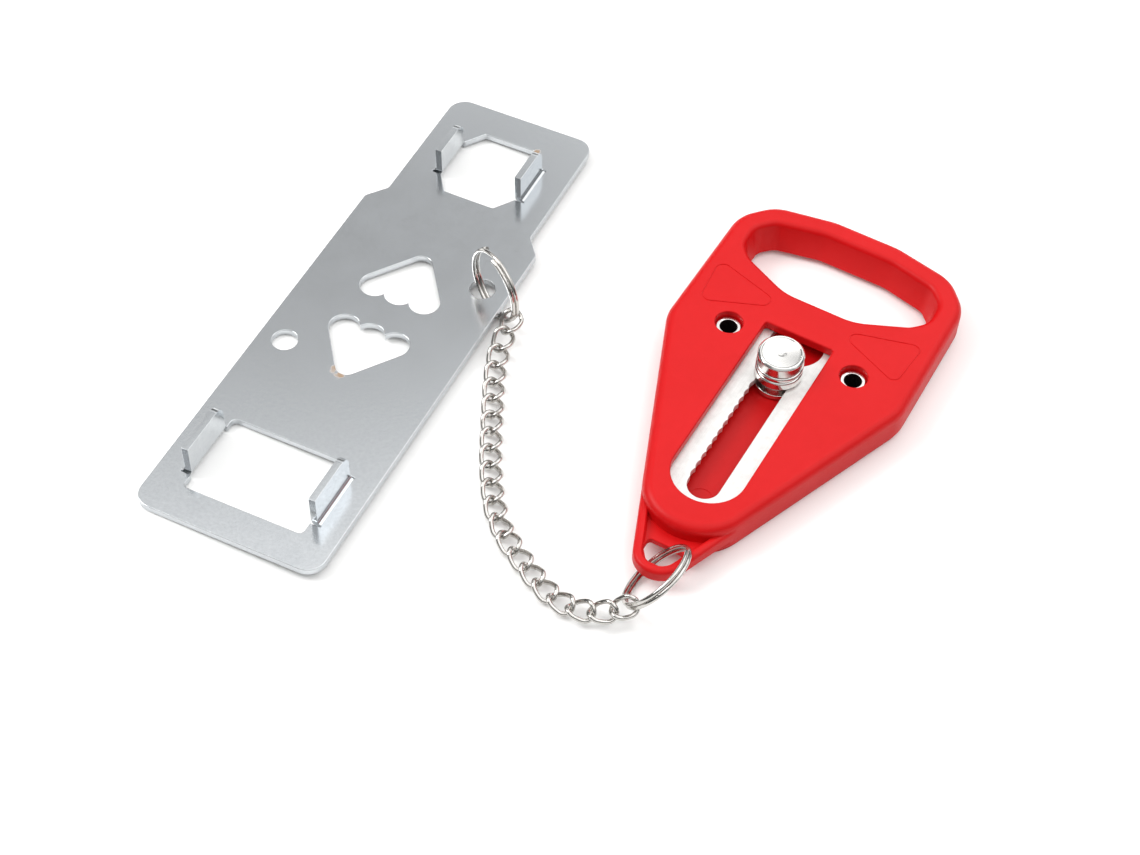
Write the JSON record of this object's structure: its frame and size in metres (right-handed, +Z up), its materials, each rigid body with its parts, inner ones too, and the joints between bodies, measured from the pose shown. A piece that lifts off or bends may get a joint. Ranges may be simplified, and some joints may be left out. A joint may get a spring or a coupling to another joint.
{
  "type": "portable door lock",
  "caption": "Travel door lock: a stamped steel strike plate joined by a short curb chain to a moulded finger grip with a sliding, spring-loaded knob.",
  "frame": {"origin": "bottom centre of the bounding box, on the surface that the lock lies on", "axes": "+Z up, +Y along the strike plate from its wide end to its narrow end, +X from the plate to the grip"},
  "size_m": [0.1302, 0.132, 0.0168],
  "materials": {
    "plate_zinc": "bright zinc plating over pressed sheet, satin, with drawn edges and a few rust stains",
    "slot_steel": "brushed plated sheet",
    "chain_nickel": "polished nickel plate",
    "knob_nickel": "turned and polished, with fine lathe rings",
    "grip_red": "semi-gloss red moulding with soft edges"
  },
  "bodies": {
    "plate": {"strike_plate": "plate_zinc"},
    "plate_ring": {"split_ring_plate": "chain_nickel"},
    "link_01": {"chain_link_01": "chain_nickel"},
    "link_02": {"chain_link_02": "chain_nickel"},
    "link_03": {"chain_link_03": "chain_nickel"},
    "link_04": {"chain_link_04": "chain_nickel"},
    "link_05": {"chain_link_05": "chain_nickel"},
    "link_06": {"chain_link_06": "chain_nickel"},
    "link_07": {"chain_link_07": "chain_nickel"},
    "link_08": {"chain_link_08": "chain_nickel"},
    "link_09": {"chain_link_09": "chain_nickel"},
    "link_10": {"chain_link_10": "chain_nickel"},
    "link_11": {"chain_link_11": "chain_nickel"},
    "link_12": {"chain_link_12": "chain_nickel"},
    "link_13": {"chain_link_13": "chain_nickel"},
    "link_14": {"chain_link_14": "chain_nickel"},
    "link_15": {"chain_link_15": "chain_nickel"},
    "link_16": {"chain_link_16": "chain_nickel"},
    "link_17": {"chain_link_17": "chain_nickel"},
    "link_18": {"chain_link_18": "chain_nickel"},
    "link_19": {"chain_link_19": "chain_nickel"},
    "link_20": {"chain_link_20": "chain_nickel"},
    "link_21": {"chain_link_21": "chain_nickel"},
    "grip_ring": {"split_ring_grip": "chain_nickel"},
    "grip": {"grip_housing": "grip_red", "back_cover": "grip_red", "slot_plate": "slot_steel", "eyelet_rivet_left": "knob_nickel", "eyelet_rivet_right": "knob_nickel"},
    "knob_slider": {"guide_bush": "knob_nickel", "flange_washer": "knob_nickel", "knob_spring": "knob_nickel"},
    "knob_cap": {"knob_cap": "knob_nickel", "knob_stem": "knob_nickel", "stem_collar": "knob_nickel"}
  },
  "joints": [
    {"name": "plate_ring_hinge", "type": "hinge", "parent": "plate", "child": "plate_ring", "pos_m": [-0.0247, 0.0152, 0.00223], "axis": [0, 1, 0], "range_deg": [-6, 6]},
    {"name": "link_01_hinge", "type": "hinge", "parent": "plate_ring", "child": "link_01", "pos_m": [-0.01893, 0.01066, 0.00496], "axis": [0, 0, 1], "range_deg": [-12, 15]},
    {"name": "link_02_hinge", "type": "hinge", "parent": "link_01", "child": "link_02", "pos_m": [-0.019, 0.0066, 0.0034], "axis": [-0.9877, -0.1564, 0], "range_deg": [-15, 15]},
    {"name": "link_03_hinge", "type": "hinge", "parent": "link_02", "child": "link_03", "pos_m": [-0.01833, 0.00241, 0.00243], "axis": [0, 0, -1], "range_deg": [-15, 15]},
    {"name": "link_04_hinge", "type": "hinge", "parent": "link_03", "child": "link_04", "pos_m": [-0.01707, -0.00173, 0.00197], "axis": [0.9272, 0.3746, 0], "range_deg": [-15, 15]},
    {"name": "link_05_hinge", "type": "hinge", "parent": "link_04", "child": "link_05", "pos_m": [-0.01544, -0.00575, 0.00174], "axis": [0, 0, 1], "range_deg": [-15, 15]},
    {"name": "link_06_hinge", "type": "hinge", "parent": "link_05", "child": "link_06", "pos_m": [-0.01367, -0.00973, 0.00174], "axis": [-0.9063, -0.4226, 0], "range_deg": [-15, 15]},
    {"name": "link_07_hinge", "type": "hinge", "parent": "link_06", "child": "link_07", "pos_m": [-0.01183, -0.01367, 0.00174], "axis": [0, 0, -1], "range_deg": [-15, 15]},
    {"name": "link_08_hinge", "type": "hinge", "parent": "link_07", "child": "link_08", "pos_m": [-0.01, -0.01761, 0.00174], "axis": [0.9063, 0.4226, 0], "range_deg": [-15, 15]},
    {"name": "link_09_hinge", "type": "hinge", "parent": "link_08", "child": "link_09", "pos_m": [-0.00816, -0.02156, 0.00174], "axis": [0, 0, 1], "range_deg": [-15, 15]},
    {"name": "link_10_hinge", "type": "hinge", "parent": "link_09", "child": "link_10", "pos_m": [-0.00618, -0.02543, 0.00174], "axis": [-0.8746, -0.4848, 0], "range_deg": [-15, 15]},
    {"name": "link_11_hinge", "type": "hinge", "parent": "link_10", "child": "link_11", "pos_m": [-0.00407, -0.02924, 0.00174], "axis": [0, 0, -1], "range_deg": [-15, 15]},
    {"name": "link_12_hinge", "type": "hinge", "parent": "link_11", "child": "link_12", "pos_m": [-0.00177, -0.03293, 0.00174], "axis": [0.7986, 0.6018, 0], "range_deg": [-15, 15]},
    {"name": "link_13_hinge", "type": "hinge", "parent": "link_12", "child": "link_13", "pos_m": [0.00085, -0.0364, 0.00174], "axis": [0, 0, 1], "range_deg": [-15, 15]},
    {"name": "link_14_hinge", "type": "hinge", "parent": "link_13", "child": "link_14", "pos_m": [0.00392, -0.03947, 0.00174], "axis": [-0.5878, -0.809, 0], "range_deg": [-15, 15]},
    {"name": "link_15_hinge", "type": "hinge", "parent": "link_14", "child": "link_15", "pos_m": [0.00744, -0.04203, 0.00174], "axis": [0, 0, -1], "range_deg": [-15, 15]},
    {"name": "link_16_hinge", "type": "hinge", "parent": "link_15", "child": "link_16", "pos_m": [0.01113, -0.04434, 0.00174], "axis": [0.515, 0.8572, 0], "range_deg": [-15, 15]},
    {"name": "link_17_hinge", "type": "hinge", "parent": "link_16", "child": "link_17", "pos_m": [0.01486, -0.04658, 0.00174], "axis": [0, 0, 1], "range_deg": [-15, 15]},
    {"name": "link_18_hinge", "type": "hinge", "parent": "link_17", "child": "link_18", "pos_m": [0.01877, -0.04848, 0.00174], "axis": [-0.1908, -0.9816, 0], "range_deg": [-15, 15]},
    {"name": "link_19_hinge", "type": "hinge", "parent": "link_18", "child": "link_19", "pos_m": [0.02303, -0.04931, 0.00205], "axis": [0, 0, -1], "range_deg": [-11, 15]},
    {"name": "link_20_hinge", "type": "hinge", "parent": "link_19", "child": "link_20", "pos_m": [0.02732, -0.04886, 0.00265], "axis": [-0.3907, 0.9205, 0], "range_deg": [-15, 15]},
    {"name": "link_21_hinge", "type": "hinge", "parent": "link_20", "child": "link_21", "pos_m": [0.03123, -0.0472, 0.00356], "axis": [0, 0, 1], "range_deg": [-15, 6]},
    {"name": "grip_ring_hinge", "type": "hinge", "parent": "link_21", "child": "grip_ring", "pos_m": [0.03444, -0.04451, 0.00475], "axis": [0, 0, 1], "range_deg": [-15, 15]},
    {"name": "grip_hinge", "type": "hinge", "parent": "grip_ring", "child": "grip", "pos_m": [0.0331, -0.03191, 0.0032], "axis": [0.9985, -0.0546, 0], "range_deg": [-18, 10]},
    {"name": "knob_slide", "type": "slide", "parent": "grip", "child": "knob_slider", "axis": [0.0546, 0.9985, 0], "range_m": [-0.0335, 0.0033]},
    {"name": "knob_lift", "type": "slide", "parent": "knob_slider", "child": "knob_cap", "axis": [0, 0, 1], "range_m": [0, 0.0018], "stiffness_N_per_m": 400, "springref_m": -0.003, "deforming": ["knob_spring"]}
  ]
}
